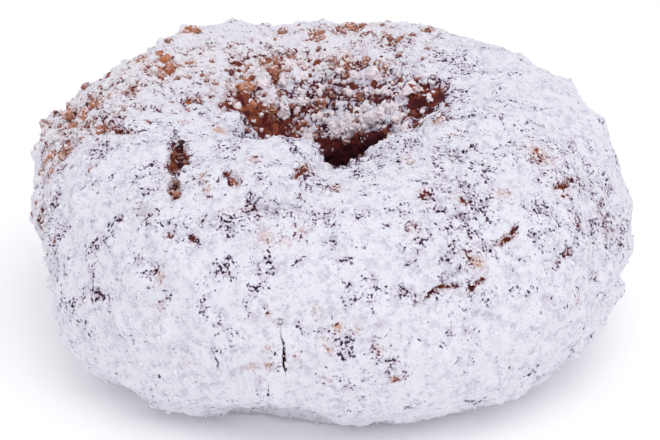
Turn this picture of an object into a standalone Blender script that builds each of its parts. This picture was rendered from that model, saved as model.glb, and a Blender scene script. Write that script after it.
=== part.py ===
"""A crumb doughnut: one ring of cake, rolled in crumbs and thick with powdered sugar.

Metres, +Z up. The origin is on the base plane, under the middle of the ring. Angles round the
ring run from +X towards +Y, and the side that shows best faces -Y. Angles round the tube, the
ring's own section, run from 0 at the outer side, through 90 on top, to 180 in the hole.
"""

import math
import random

import bmesh
import bpy
from mathutils import Euler, Matrix, Vector, noise
from mathutils.bvhtree import BVHTree

# Driving dimensions
OUTER_DIAMETER = 0.0814  # of the plain ring, which the crust's relief and its crumbs stand out of
HEIGHT = 0.0339
HOLE_DIAMETER = 0.0102  # at the waist, where the hole is narrowest
WAIST_HEIGHT = 0.0157  # of the widest and the narrowest level above the base
TUBE_DEPTH_BELOW = 0.0171  # waist to the round underside that the flat base cuts off
TUBE_SQUARENESS = 0.93  # 1 is an ellipse, less is nearer to a box

RING_RADIUS = (OUTER_DIAMETER + HOLE_DIAMETER) / 4
TUBE_HALF_WIDTH = (OUTER_DIAMETER - HOLE_DIAMETER) / 4
TUBE_HEIGHT_ABOVE = HEIGHT - WAIST_HEIGHT

# The ring is uneven: (waves round the ring, share of the size, degrees at a high point)
GIRTH_WAVES = ((1, 0.004, 51.0), (4, 0.023, 52.0), (5, 0.016, 20.0))
CROWN_WAVES = ((1, 0.009, 172.0), (2, 0.014, 84.0), (3, 0.015, 22.0), (7, 0.008, 40.0))
UNDERSIDE_WAVES = ((1, 0.010, 142.0), (2, 0.016, 18.0), (3, 0.016, 91.0), (4, 0.020, 31.0))

# Swellings and hollows of the soft dough: (degrees round the ring, degrees round the tube,
# half width, height)
SWELLINGS = (
    (9.0, 12.0, 0.0055, -0.0019),
    (25.0, 31.0, 0.0035, 0.0006),
    (44.0, 49.0, 0.0035, -0.0018),
    (66.0, 63.0, 0.0050, 0.0008),
    (86.0, 69.0, 0.0040, -0.0005),
    (103.0, 68.0, 0.0050, -0.0006),
    (116.0, 62.0, 0.0040, 0.0014),
    (129.0, 57.0, 0.0040, 0.0005),
    (146.0, 42.0, 0.0050, -0.0021),
    (167.0, 21.0, 0.0045, 0.0020),
    (183.0, -4.0, 0.0050, -0.0010),
    (196.0, -12.0, 0.0060, -0.0022),
    (214.0, -30.0, 0.0065, 0.0016),
    (233.0, -44.0, 0.0050, 0.0014),
    (259.0, -56.0, 0.0065, -0.0030),
    (281.0, -56.0, 0.0045, 0.0004),
    (309.0, -42.0, 0.0050, 0.0009),
    (333.0, -23.0, 0.0045, 0.0010),
)

# Grooves that run from the top into the hole, as a dropped ring gets where its dough parted:
# (degrees round the ring, half width in degrees, depth)
HOLE_GROOVES = (
    (271.5, 13.0, 0.0046),
    (315.0, 15.0, 0.0015),
    (8.0, 16.0, 0.0024),
    (75.0, 20.0, 0.0016),
    (176.0, 15.0, 0.0020),
)
GROOVE_TUBE_ANGLE = 128.0  # where a groove is deepest
GROOVE_TUBE_SPREAD = 42.0

# Relief of the crumbed crust: broad swellings, and crags of crumb with clefts between them
LUMP_PITCH, LUMP_DEPTH = 0.0150, 0.0007
LUMP_SHIFT = Vector((3.1, 7.7, 1.9))
CRAG_PITCH, CRAG_DEPTH = 0.0062, 0.0014
CRAG_STEEPNESS = 1.7
CRAG_MEAN = 0.62

# Meshing
RING_SEGMENTS, TUBE_SEGMENTS = 120, 60
FACET_SIZE = 0.00254
BASE_SNAP = 0.0006  # what lies this low is pressed onto the flat base

# Crumbs that stand out of the coat
CRUMB_SEED = 11
CRUMB_DRAWS = 2600
CRUMB_SIZES = (0.0044, 0.0036, 0.0029)  # across, the largest placed first
CRUMBS_OF_A_SIZE = (22, 40, 58)
CRUMB_GAP = 1.25  # least distance between middles, in crumb sizes
CRUMB_SUNK = 0.20  # how far a crumb's middle lies under the crust, as a share of its size
CRUMB_JITTER = 0.11
CRUMB_FLATNESS = 0.84
CRUMB_LOWEST = 0.0060  # above the base
# The ones that stand out most: (degrees round the ring, degrees round the tube, size)
PROUD_CRUMBS = (
    (165.0, 28.0, 0.0046),
    (171.0, 18.0, 0.0040),
    (175.0, 8.0, 0.0034),
    (152.0, 46.0, 0.0034),
    (129.0, 58.0, 0.0042),
    (116.0, 62.0, 0.0036),
    (98.0, 66.0, 0.0034),
    (85.0, 70.0, 0.0036),
)

CRUST_COLOUR = (0.78, 0.77, 0.84, 1.0)  # powdered sugar over brown cake
CRUST_ROUGHNESS = 0.9


def clear_scene():
    for old in list(bpy.data.objects):
        bpy.data.objects.remove(old, do_unlink=True)


def waves(table, angle):
    """How much the size at this angle differs from the mean, as a share of it."""
    return sum(share * math.cos(count * (angle - math.radians(peak))) for count, share, peak in table)


def bell(offset_degrees, half_width):
    """1 at an offset of nothing, falling smoothly to almost 0 at two half widths."""
    turned = (offset_degrees + 180.0) % 360.0 - 180.0
    return math.exp(-((turned / half_width) ** 2))


def squared(share):
    """A sine or cosine, swelled so that the section is a little nearer to a box."""
    return math.copysign(abs(share) ** TUBE_SQUARENESS, share)


def groove_depth(around, tube):
    """How far a groove of the hole pushes the crust in at this place."""
    across = bell(math.degrees(tube) - GROOVE_TUBE_ANGLE, GROOVE_TUBE_SPREAD)
    return across * sum(depth * bell(math.degrees(around) - at, half) for at, half, depth in HOLE_GROOVES)


def ring_point(around, tube):
    """The plain, uneven ring's surface at these two angles."""
    girth = 1.0 + waves(GIRTH_WAVES, around)
    crown = 1.0 + waves(CROWN_WAVES, around)
    underside = 1.0 + waves(UNDERSIDE_WAVES, around)
    sunk = groove_depth(around, tube)
    half_width = TUBE_HALF_WIDTH * (girth if math.cos(tube) > 0 else 1.0)
    across, up = squared(math.cos(tube)), squared(math.sin(tube))
    tube_height = TUBE_HEIGHT_ABOVE * crown if up > 0 else TUBE_DEPTH_BELOW * underside
    radius = RING_RADIUS + (half_width - sunk) * across
    height = WAIST_HEIGHT + (tube_height - sunk) * up
    return Vector((radius * math.cos(around), radius * math.sin(around), max(height, 0.0)))


def crag(point):
    """From 0 in the clefts between two crumbs to about 1 on top of one."""
    near, after = noise.voronoi(point / CRAG_PITCH)[0][:2]
    return min(1.0, CRAG_STEEPNESS * (after - near))


def swelling(point, centres):
    """How far the dough swells, or sinks, at this point."""
    return sum(
        height * math.exp(-(((point - centre).length / half_width) ** 2))
        for centre, half_width, height in centres
    )


def relief(point, centres):
    """How far the crumbed crust stands proud of the plain ring."""
    lump = LUMP_DEPTH * noise.noise(point / LUMP_PITCH + LUMP_SHIFT)
    return lump + CRAG_DEPTH * (crag(point) - CRAG_MEAN) + swelling(point, centres)


def make_ring(collection):
    """The cake ring: a torus shaped to the uneven section, in even facets, with its relief."""
    bpy.ops.mesh.primitive_torus_add(
        major_segments=RING_SEGMENTS,
        minor_segments=TUBE_SEGMENTS,
        major_radius=RING_RADIUS,
        minor_radius=TUBE_HALF_WIDTH,
    )
    ring = bpy.context.object
    for owner in list(ring.users_collection):
        owner.objects.unlink(ring)
    collection.objects.link(ring)
    ring.name = ring.data.name = "crumb_doughnut"
    for vertex in ring.data.vertices:
        x, y, z = vertex.co
        around = math.atan2(y, x)
        vertex.co = ring_point(around, math.atan2(z, math.hypot(x, y) - RING_RADIUS))

    facets = ring.modifiers.new("facets", "REMESH")
    facets.mode = "VOXEL"
    facets.voxel_size = FACET_SIZE
    ring.data = applied(ring)

    centres = [
        (ring_point(math.radians(around), math.radians(tube)), half_width, height)
        for around, tube, half_width, height in SWELLINGS
    ]
    ring.data.update()
    moved = [vertex.co + vertex.normal * relief(vertex.co, centres) for vertex in ring.data.vertices]
    for vertex, place in zip(ring.data.vertices, moved):
        low = vertex.co.z < BASE_SNAP
        vertex.co = Vector((place.x, place.y, 0.0 if low else max(place.z, BASE_SNAP)))
    return ring


def applied(thing):
    """A plain mesh of the object with its modifiers, which are then taken off it."""
    bpy.context.view_layer.update()
    graph = bpy.context.evaluated_depsgraph_get()
    mesh = bpy.data.meshes.new_from_object(thing.evaluated_get(graph))
    mesh.name = thing.name
    thing.modifiers.clear()
    return mesh


def make_crumb(name, collection, draw, place, outward, size):
    """One broken crumb: a jittered, slightly flattened 20-sided lump, sunk a little in the crust."""
    shape = bmesh.new()
    bmesh.ops.create_icosphere(shape, subdivisions=1, radius=size / 2)
    for vertex in shape.verts:
        vertex.co *= 1.0 + draw.uniform(-CRUMB_JITTER, CRUMB_JITTER)
        vertex.co.z *= CRUMB_FLATNESS
    mesh = bpy.data.meshes.new(name)
    shape.to_mesh(mesh)
    shape.free()
    turn = Euler([draw.uniform(0.0, math.tau) for _ in range(3)]).to_matrix().to_4x4()
    crumb = bpy.data.objects.new(name, mesh)
    crumb.matrix_world = Matrix.Translation(place - outward * size * CRUMB_SUNK) @ turn
    collection.objects.link(crumb)


def fuse_crumbs(ring):
    """Spreads crumbs over the coat, the largest first and none too near another, and joins them on."""
    bpy.context.view_layer.update()
    tree = BVHTree.FromObject(ring, bpy.context.evaluated_depsgraph_get())
    loose = bpy.data.collections.new("loose_crumbs")
    bpy.context.scene.collection.children.link(loose)
    draw = random.Random(CRUMB_SEED)
    placed = []

    def place_crumb(around, tube, size):
        guide = ring_point(math.radians(around), math.radians(tube))
        place, outward, _, _ = tree.find_nearest(guide)
        crowded = any((place - other).length < CRUMB_GAP * (size + its) / 2 for other, its in placed)
        if crowded or place.z < CRUMB_LOWEST:
            return False
        make_crumb(f"crumb_{len(placed):03d}", loose, draw, place, outward, size)
        placed.append((place, size))
        return True

    for around, tube, size in PROUD_CRUMBS:
        place_crumb(around, tube, size)
    for size, wanted in zip(CRUMB_SIZES, CRUMBS_OF_A_SIZE):
        made = 0
        for _ in range(CRUMB_DRAWS):
            around, tube = draw.uniform(0.0, 360.0), draw.uniform(-35.0, 200.0)
            area = (RING_RADIUS + TUBE_HALF_WIDTH * math.cos(math.radians(tube))) / (OUTER_DIAMETER / 2)
            if made < wanted and draw.random() < area:
                made += place_crumb(around, tube, size)

    union = ring.modifiers.new("crumbs", "BOOLEAN")
    union.operation = "UNION"
    union.operand_type = "COLLECTION"
    union.collection = loose
    union.solver = "MANIFOLD"
    ring.data = applied(ring)
    for crumb in list(loose.objects):
        bpy.data.objects.remove(crumb, do_unlink=True)
    bpy.data.collections.remove(loose)


def centre_over_origin(ring):
    """Slides the ring along its base plane until the middle of its box is over the origin."""
    low = [min(vertex.co[axis] for vertex in ring.data.vertices) for axis in range(2)]
    high = [max(vertex.co[axis] for vertex in ring.data.vertices) for axis in range(2)]
    ring.data.transform(Matrix.Translation((-(low[0] + high[0]) / 2, -(low[1] + high[1]) / 2, 0.0)))


def make_crust():
    """Matt powdered sugar, a little blue beside the brown cake."""
    crust = bpy.data.materials.new("sugared_crust")
    crust.use_nodes = True
    surface = crust.node_tree.nodes["Principled BSDF"]
    surface.inputs["Base Color"].default_value = CRUST_COLOUR
    surface.inputs["Roughness"].default_value = CRUST_ROUGHNESS
    surface.inputs["Metallic"].default_value = 0.0
    return crust


def main():
    clear_scene()
    doughnut = bpy.data.collections.new("crumb_doughnut")
    bpy.context.scene.collection.children.link(doughnut)
    ring = make_ring(doughnut)
    fuse_crumbs(ring)
    centre_over_origin(ring)
    ring.data.materials.clear()
    ring.data.materials.append(make_crust())


main()
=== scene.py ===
import math

import bmesh
import bpy
import numpy as np
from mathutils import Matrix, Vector, noise
from mathutils.bvhtree import BVHTree


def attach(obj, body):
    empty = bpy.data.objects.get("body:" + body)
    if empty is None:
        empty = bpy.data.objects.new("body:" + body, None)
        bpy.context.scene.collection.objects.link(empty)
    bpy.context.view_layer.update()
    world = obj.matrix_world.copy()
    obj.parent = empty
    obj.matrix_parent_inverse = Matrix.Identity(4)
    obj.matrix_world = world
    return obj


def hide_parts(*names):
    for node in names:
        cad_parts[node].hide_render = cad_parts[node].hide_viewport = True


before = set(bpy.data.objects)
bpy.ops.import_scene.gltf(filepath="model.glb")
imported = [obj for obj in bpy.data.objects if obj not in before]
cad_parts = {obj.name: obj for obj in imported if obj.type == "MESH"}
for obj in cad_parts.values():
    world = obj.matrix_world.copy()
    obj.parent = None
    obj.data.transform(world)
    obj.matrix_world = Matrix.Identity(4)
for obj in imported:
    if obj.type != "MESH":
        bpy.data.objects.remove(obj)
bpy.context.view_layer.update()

# ---------------------------------------------------------------------------------------------
# The cake ring
# A ring of cake dough, dropped in hot fat until its crust is brown and craggy, rolled in cake
# crumbs and then buried in powdered sugar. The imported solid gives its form. Here the crumb coat
# is pressed into it, fine and shallow where the sugar is thick, deep and open where it is thin.

MM = 0.001
RING_RADIUS = 22.9 * MM  # to the middle of the tube
TUBE_WIDTH = 17.8 * MM
TUBE_HEIGHT = 18.0 * MM
WAIST_HEIGHT = 15.7 * MM
CORNER_GAP = 0.002 * MM
SKIN_FACET = 0.44 * MM
SKIN_SMOOTHING = 6
SKIN_TRIANGLES = 190000

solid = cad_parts["crumb_doughnut"]


def merged_copy(source, name):
    """A new object with the source's mesh, its loose triangles joined at their corners."""
    mesh = source.data.copy()
    shape = bmesh.new()
    shape.from_mesh(mesh)
    bmesh.ops.remove_doubles(shape, verts=shape.verts, dist=CORNER_GAP)
    shape.to_mesh(mesh)
    shape.free()
    mesh.materials.clear()
    mesh.name = name
    thing = bpy.data.objects.new(name, mesh)
    bpy.context.scene.collection.objects.link(thing)
    return thing


def make_plain(thing):
    """Replaces the object's mesh by what its modifiers make of it, and takes them off."""
    bpy.context.view_layer.update()
    graph = bpy.context.evaluated_depsgraph_get()
    mesh = bpy.data.meshes.new_from_object(thing.evaluated_get(graph))
    thing.modifiers.clear()
    mesh.name = thing.name
    thing.data = mesh


ring = merged_copy(solid, "sugared_ring")
skin = ring.modifiers.new("skin", "REMESH")
skin.mode = "VOXEL"
skin.voxel_size = SKIN_FACET
soften = ring.modifiers.new("soften", "SMOOTH")
soften.factor = 0.5
soften.iterations = SKIN_SMOOTHING
make_plain(ring)


def ring_place(around, tube):
    """A place on the plain ring, from degrees round the ring and round its tube."""
    around, tube = math.radians(around), math.radians(tube)
    out = RING_RADIUS + TUBE_WIDTH * math.cos(tube)
    level = WAIST_HEIGHT + TUBE_HEIGHT * math.sin(tube)
    return Vector((out * math.cos(around), out * math.sin(around), level))


def angle_round_tube(place):
    """Degrees round the tube, for rows of places: 0 outside, 90 on the crown, 180 in the hole."""
    out = np.hypot(place[:, 0], place[:, 1]) - RING_RADIUS
    return np.degrees(np.arctan2(place[:, 2] - WAIST_HEIGHT, out))


noise.seed_set(4)  # without a seed of its own the noise differs from run to run
WANDER_PITCH = 0.9 * MM


def line_on_skin(places, step, wander):
    """Points along a wandering line on the skin, through places given by their two angles."""
    line = []
    for (a0, t0), (a1, t1) in zip(places, places[1:]):
        count = max(2, round((ring_place(a0, t0) - ring_place(a1, t1)).length / step))
        for k in range(count):
            point = ring_place(a0 + (a1 - a0) * k / count, t0 + (t1 - t0) * k / count)
            point = skin_tree.find_nearest(point)[0]
            astray = noise.noise_vector(point / WANDER_PITCH) * wander
            line.append(skin_tree.find_nearest(point + astray)[0])
    line.append(skin_tree.find_nearest(ring_place(*places[-1]))[0])
    return np.array(line)


def nearest_on_line(points, line):
    """Each point's distance to a line, and how far along the line that is, from 0 to 1."""
    distance = np.full(len(points), 1.0)
    along = np.zeros(len(points))
    for k, (start, end) in enumerate(zip(line, line[1:])):
        run = end - start
        share = np.clip((points - start) @ run / (run @ run), 0, 1)
        away = np.linalg.norm(points - start - share[:, None] * run, axis=1)
        closer = away < distance
        distance[closer] = away[closer]
        along[closer] = (k + share[closer]) / (len(line) - 1)
    return distance, along


# Where the crust stands fuller or lower than the ring's plain form:
# (degrees round the ring, degrees round the tube, half width in mm, height in mm)
SWELLS = (
    (168, 37, 1.8, -0.9), (168, 50, 2.6, -0.9), (174, 46, 2.6, -1.7), (206, 118, 3.6, 1.4),
    (218, 118, 2.6, -0.7), (232, 115, 3.2, -1.1), (246, -48, 4.5, -0.9), (259, -60, 3.0, -0.6),
    (263, 118, 3.2, 2.8), (271, -50, 4.0, 0.6), (281, -52, 5.0, -0.5), (308, 117, 4.5, 2.2),
    (332, 114, 4.5, 2.0),
)
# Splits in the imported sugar, and folds and pits where the crust itself has torn open. Lines
# narrower than SPLIT_WIDTH have ragged sides; wider ones have orange crumb along them.
# (places by degrees round the ring and round the tube, half width and depth in mm, bare crust)
SPLIT_WIDTH = 0.2
SPLITS = (
    (((262, 13), (262, 10), (263, 5), (263, 0), (263, -4), (263, -10)), 0.06, 0.40, 1.05),
    (((252, 8), (250, 4), (250, -1), (251, -6), (250, -13)), 0.06, 0.30, 0.75),
    (((243, 11), (246, 12), (247, 15), (249, 16)), 0.05, 0.20, 0.75),
    (((260, -12), (260, -19)), 0.05, 0.25, 0.55),
    (((95, 12), (93, 7), (95, 2), (94, -5)), 0.05, 0.25, 0.75),
)
FOLDS = (
    (((222, 85), (226, 77), (230, 69)), 0.70, 2.2, 1.15),
    (((232, 66), (234, 59), (235, 56)), 0.45, 0.9, 0.62),
    (((196, 69), (204, 72), (207, 76)), 0.45, 1.0, 0.60),
    (((165, 77), (170, 79), (176, 78)), 0.35, 0.7, 0.40),
    (((286, 19), (289, 23), (291, 24), (294, 25)), 0.25, 0.6, 0.68),
    (((294, 21), (296, 23), (299, 26)), 0.23, 0.5, 0.58),
    (((290, 27), (294, 29), (298, 33)), 0.20, 0.4, 0.36),
    (((283, 28), (284, 25), (287, 23), (288, 25)), 0.20, 0.3, 0.34),
    (((303, 36), (305, 37), (307, 37), (309, 40)), 0.34, 0.5, 0.60),
    (((310, 36), (312, 34), (314, 33)), 0.20, 0.3, 0.30),
    (((323, 47), (327, 46), (332, 45)), 0.30, 0.5, 0.54),
    (((293, 55), (296, 52), (298, 50), (300, 46)), 0.20, 0.4, 0.38),
    (((172, 110), (175, 105)), 0.55, 0.8, 0.55),
    (((248, 70), (249, 67)), 0.50, 0.6, 0.60),
    (((261, 78), (263, 81), (264, 84), (267, 86)), 0.26, 0.7, 0.60),
    (((238, 40), (240, 42)), 0.30, 0.3, 0.45),
    (((250, 50), (252, 46), (249, 42)), 0.20, 0.2, 0.25),
    (((60, 50), (64, 54), (68, 53)), 0.30, 0.5, 0.60),
    (((124, 42), (128, 46), (133, 45)), 0.26, 0.5, 0.60),
    (((25, 24), (29, 28), (32, 27)), 0.24, 0.4, 0.56),
)


def refine_along(thing, lines, reach):
    """Splits the faces near the lines into four, twice, the second time closer in."""
    shape = bmesh.new()
    shape.from_mesh(thing.data)
    for near in (reach, reach / 2):
        shape.edges.ensure_lookup_table()
        middles = np.array([(e.verts[0].co + e.verts[1].co) / 2 for e in shape.edges])
        close = np.zeros(len(middles), bool)
        for line in lines:
            close |= nearest_on_line(middles, line)[0] < near
        edges = [shape.edges[k] for k in np.flatnonzero(close)]
        bmesh.ops.subdivide_edges(shape, edges=edges, cuts=1, use_grid_fill=True)
    bmesh.ops.triangulate(shape, faces=[f for f in shape.faces if len(f.verts) > 4])
    shape.to_mesh(thing.data)
    shape.free()


finder = bmesh.new()
finder.from_mesh(ring.data)
skin_tree = BVHTree.FromBMesh(finder)
finder.free()
split_lines = [line_on_skin(places, step=0.25 * MM, wander=0.16 * MM) for places, *_ in SPLITS]
fold_lines = [line_on_skin(places, step=0.40 * MM, wander=0.35 * MM) for places, *_ in FOLDS]
refine_along(ring, split_lines, reach=0.9 * MM)

# How thin the sugar lies: 0 is buried, 1 is bare crust. It thins towards the crown, and little
# has reached the wall of the hole: (degrees round the tube, share of bare crust)
BARE_BY_TUBE = (
    (-180, 0.45), (-120, 0.38), (-60, 0.02), (-10, -0.03), (10, 0.0), (25, 0.04), (40, 0.13),
    (75, 0.14), (106, 0.20), (115, 0.38), (128, 0.56), (145, 0.62), (154, 0.80), (161, 1.10),
    (167, 1.60),
)
# The next four lists hold soft round spots on the skin:
# (degrees round the ring, degrees round the tube, half width in mm, amount)
# Places where the sugar lies thin
BARE_PLACES = (
    # the shoulder at -X
    (158, 88, 1.8, 0.30), (160, 60, 5.0, 0.10), (169, 56, 1.4, 0.20), (172, 78, 4.0, 0.12),
    (175, 108, 2.2, 0.20), (176, 47, 5.0, 0.46), (176, 63, 1.2, 0.20), (181, 50, 1.4, 0.20),
    (188, -8, 1.4, 0.85), (188, 39, 3.0, 0.26), (188, 50, 3.5, 0.22), (188, 68, 4.0, 0.36),
    (189, -12, 1.0, 0.60), (195, -2, 3.0, 0.16), (195, 10, 2.0, 0.30), (195, 65, 1.0, 0.25),
    (196, 65, 2.0, 0.14), (199, 15, 2.0, 0.24), (200, 5, 4.0, 0.10), (200, 25, 6.0, 0.08),
    # the rear of the crown
    (43, 104, 3.0, 0.05), (59, 76, 1.4, 0.40), (66, 80, 1.2, 0.24), (68, 92, 2.4, 0.28),
    (81, 86, 2.2, 0.34), (82, 73, 1.8, 0.65), (107, 112, 1.4, 0.25), (129, 66, 1.2, 0.30),
    (129, 112, 2.2, 0.18), (142, 110, 1.8, 0.14),
    # the side at +Y
    (1, 31, 1.5, 0.24), (12, 12, 1.6, 0.28), (30, 31, 1.5, 0.30), (38, 52, 1.8, 0.24),
    (45, 10, 1.2, 0.30), (54, 24, 1.0, 0.34), (62, 38, 2.2, 0.26), (75, 5, 1.4, 0.30),
    (85, 50, 2.4, 0.18), (90, 31, 1.6, 0.30), (103, 13, 1.0, 0.34), (108, 52, 1.6, 0.26),
    (118, 35, 2.2, 0.28), (131, 8, 1.4, 0.30), (145, 28, 2.0, 0.28),
    # the front left
    (202, 30, 1.4, 0.26), (205, 18, 3.0, 0.12), (207, 58, 3.0, 0.10), (209, 23, 1.2, 0.18),
    (210, 5, 8.0, 0.14), (210, 31, 1.5, 0.18), (215, -8, 4.0, 0.08), (219, 48, 1.2, 0.18),
    (220, 107, 3.0, 0.14), (222, -20, 7.0, 0.06), (222, 29, 1.4, 0.26), (222, 30, 5.0, 0.06),
    (223, -5, 1.5, 0.12), (223, 18, 0.9, 0.36), (224, 7, 2.0, 0.26), (224, 80, 1.0, 0.46),
    (226, 40, 1.0, 0.34), (226, 40, 1.2, 0.06), (227, 53, 2.2, 0.16), (228, 9, 2.6, 0.12),
    (229, 49, 2.0, 0.08), (229, 75, 1.5, 0.46), (232, 46, 1.5, 0.24), (232, 76, 5.0, 0.08),
    (239, 41, 0.9, 0.32), (244, 41, 0.9, 0.34), (245, 47, 1.2, 0.24), (245, 70, 0.9, 0.45),
    (247, 68, 0.8, 0.30), (249, 50, 0.8, 0.32), (251, 32, 1.1, 0.32), (253, 62, 1.5, 0.24),
    (254, 55, 1.2, 0.20), (255, 66, 2.0, 0.14), (257, 26, 0.8, 0.30), (258, 58, 1.4, 0.24),
    (259, 37, 1.3, 0.26), (259, 60, 1.8, 0.30), (263, 80, 1.6, 0.16), (264, 61, 1.0, 0.26),
    (264, 65, 0.8, 0.26), (268, 76, 3.0, 0.10), (269, 58, 2.4, 0.22),
    # low on the front
    (257, -6, 0.6, 0.30), (260, -5, 0.6, 0.55), (262, 14, 0.7, 0.66), (266, -1, 0.6, 0.25),
    (273, 8, 0.8, 0.26), (274, 4, 2.2, 0.13), (277, -6, 1.2, 0.32), (281, -4, 1.4, 0.62),
    (282, -10, 0.7, 0.30), (299, 15, 0.9, 0.28),
    # the front right
    (271, 47, 0.8, 0.32), (273, 54, 1.2, 0.10), (278, 32, 1.3, 0.24), (284, 26, 1.2, 0.32),
    (285, 36, 1.0, 0.28), (288, 45, 1.2, 0.14), (290, 52, 5.0, 0.06), (290, 100, 3.0, 0.10),
    (292, 63, 0.7, 0.24), (294, 26, 3.0, 0.16), (294, 27, 1.5, 0.14), (297, 33, 1.2, 0.05),
    (297, 46, 6.0, 0.14), (297, 83, 4.0, 0.12), (299, 29, 0.9, 0.12), (300, 55, 0.5, 0.36),
    (301, 62, 2.5, 0.10), (304, 19, 1.2, 0.24), (309, 79, 4.0, 0.12), (310, 56, 2.0, 0.08),
    (312, 23, 1.3, 0.34), (314, 23, 1.2, 0.20), (317, 24, 0.9, 0.34), (318, 85, 0.7, 0.34),
    (319, 5, 1.2, 0.20), (320, 23, 1.6, 0.10), (320, 23, 2.5, 0.14), (323, 30, 0.9, 0.34),
    (325, 42, 8.0, 0.05), (326, 5, 1.2, 0.24), (326, 22, 1.3, 0.22), (328, -6, 1.6, 0.16),
    (329, 62, 1.6, 0.20), (329, 108, 1.8, 0.16), (330, 25, 9.0, 0.05), (332, 22, 8.0, 0.08),
    (334, 21, 3.4, 0.22), (335, 39, 2.0, 0.20), (338, 7, 1.8, 0.20), (339, 69, 2.5, 0.10),
    (339, 69, 4.0, 0.10), (340, 49, 4.0, 0.10), (342, 18, 7.0, 0.10),
    # the wall of the hole, and its rim
    (18, 118, 2.6, 0.52), (22, 123, 2.0, 0.38), (22, 128, 2.0, 0.30), (28, 147, 1.7, 0.60),
    (35, 154, 2.0, 0.80), (49, 131, 1.6, 0.50), (66, 162, 2.2, 0.80), (78, 132, 2.4, 0.25),
    (140, 145, 3.0, 0.25), (156, 128, 2.7, 0.42), (158, 138, 3.5, 0.40),
)
# Places where the sugar lies thickest
BURIED_PLACES = (
    # the shoulder at -X
    (150, 110, 3.0, -0.16),
    # the rear of the crown
    (15, 62, 11.0, -0.16),
    # the front left
    (211, 38, 5.0, -0.20), (222, 88, 3.0, -0.10), (225, 110, 3.0, -0.15), (234, 33, 2.0, -0.12),
    (240, 62, 2.5, -0.12), (248, 18, 1.1, -0.24), (258, 31, 1.8, -0.12), (265, 43, 2.0, -0.16),
    (265, 53, 1.3, -0.12), (265, 55, 1.6, -0.14),
    # low on the front
    (247, 3, 2.6, -0.16), (250, -15, 9.0, -0.05), (250, 8, 0.9, -0.24), (252, 3, 1.0, -0.22),
    (273, -27, 3.2, -0.25),
    # the front right
    (272, 43, 1.6, -0.12), (273, 26, 1.2, -0.20), (274, 47, 1.8, -0.12), (275, 64, 4.0, -0.06),
    (278, 21, 0.9, -0.16), (280, 31, 2.4, -0.16), (287, 40, 1.6, -0.08), (287, 40, 2.0, -0.12),
    (297, 49, 1.4, -0.08), (300, -8, 9.0, -0.05), (345, 70, 8.0, -0.08), (350, 55, 8.0, -0.08),
    # the wall of the hole, and its rim
    (0, 124, 1.8, -0.25), (14, 134, 1.6, -0.36), (33, 136, 1.6, -0.65), (46, 141, 2.0, -0.70),
    (62, 146, 2.0, -0.70), (66, 120, 1.3, -0.80), (78, 149, 1.7, -0.70), (80, 135, 1.5, -0.45),
    (105, 121, 2.0, -0.60), (121, 149, 1.4, -0.45), (132, 119, 2.0, -0.42), (135, 131, 1.6, -0.70),
    (149, 131, 1.4, -0.50), (177, 120, 2.0, -0.35), (204, 116, 3.6, -0.30), (349, 128, 2.2, -0.80),
)
# Crumbs that show orange through the sugar over them
WARM_PLACES = (
    # the shoulder at -X
    (150, 10, 0.9, 0.80), (152, 97, 1.1, 0.70), (157, 75, 1.3, 0.80), (158, 88, 2.2, 1.10),
    (169, 58, 1.1, 0.90), (170, 43, 1.2, 0.90), (176, 63, 1.1, 0.90), (177, 55, 1.0, 0.70),
    (181, 51, 1.2, 0.90), (188, -8, 1.7, 0.70), (188, 38, 2.6, 0.30), (195, 65, 1.1, 0.80),
    (196, 12, 1.5, 0.50),
    # the rear of the crown
    (59, 76, 1.0, 1.00), (68, 92, 1.6, 0.70), (81, 86, 1.6, 1.00), (82, 73, 1.9, 1.40),
    (94, 99, 1.2, 0.90), (122, 79, 1.2, 0.50), (129, 66, 1.2, 1.20),
    # the side at +Y
    (8, 38, 0.9, 0.70), (20, 4, 0.8, 0.80), (34, 28, 0.9, 0.90), (48, 40, 0.9, 0.70),
    (58, 20, 0.8, 0.80), (70, 44, 1.0, 0.80), (80, 22, 0.7, 0.90), (92, 8, 0.8, 1.00),
    (104, 40, 1.0, 0.90), (121, 14, 0.8, 0.90), (138, 34, 1.1, 0.80),
    # the front left
    (208, 97, 1.1, 0.70), (220, 107, 1.0, 1.20), (221, 1, 0.8, 0.50), (240, 25, 1.0, 0.90),
    (241, 68, 1.0, 1.20), (243, 63, 1.0, 0.80), (245, 70, 0.8, 0.60), (248, 87, 1.0, 0.90),
    (250, 55, 1.1, 0.50), (258, 46, 1.1, 0.80), (262, 46, 0.9, 0.70), (265, 51, 0.9, 0.70),
    (265, 87, 0.8, 0.90), (268, 20, 0.8, 0.70),
    # low on the front
    (239, 6, 0.7, 0.50), (240, 14, 0.7, 0.60), (245, -8, 1.0, 0.50), (257, -6, 0.7, 1.10),
    (260, -4, 0.6, 1.10), (260, 4, 0.6, 0.80), (260, 17, 0.7, 0.70), (265, 0, 0.6, 0.80),
    (270, -11, 0.7, 0.80), (270, 9, 0.5, 0.90), (271, 4, 0.6, 1.10), (272, 12, 0.7, 1.20),
    (275, 12, 0.7, 0.70), (279, 3, 0.8, 0.70), (282, -11, 0.8, 1.30),
    # the front right
    (273, 77, 1.0, 0.80), (287, 48, 1.1, 0.45), (292, 63, 0.8, 0.70), (294, 84, 0.7, 0.90),
    (297, 35, 0.6, 0.50), (298, 31, 1.0, 1.10), (300, 55, 0.8, 0.60), (310, 53, 1.1, 0.80),
    (318, 3, 1.1, 0.55), (323, 99, 0.7, 0.80), (325, 42, 0.7, 0.80), (329, 62, 2.1, 0.90),
    (329, 110, 0.9, 1.00), (334, 24, 2.2, 0.25),
    # the wall of the hole, and its rim
    (30, 121, 1.6, 0.50), (78, 114, 2.0, 0.80), (120, 147, 2.0, 0.40), (122, 119, 1.8, 1.00),
    (136, 115, 1.6, 1.00), (158, 138, 4.0, 0.40), (160, 125, 4.0, 0.40),
)
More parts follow.
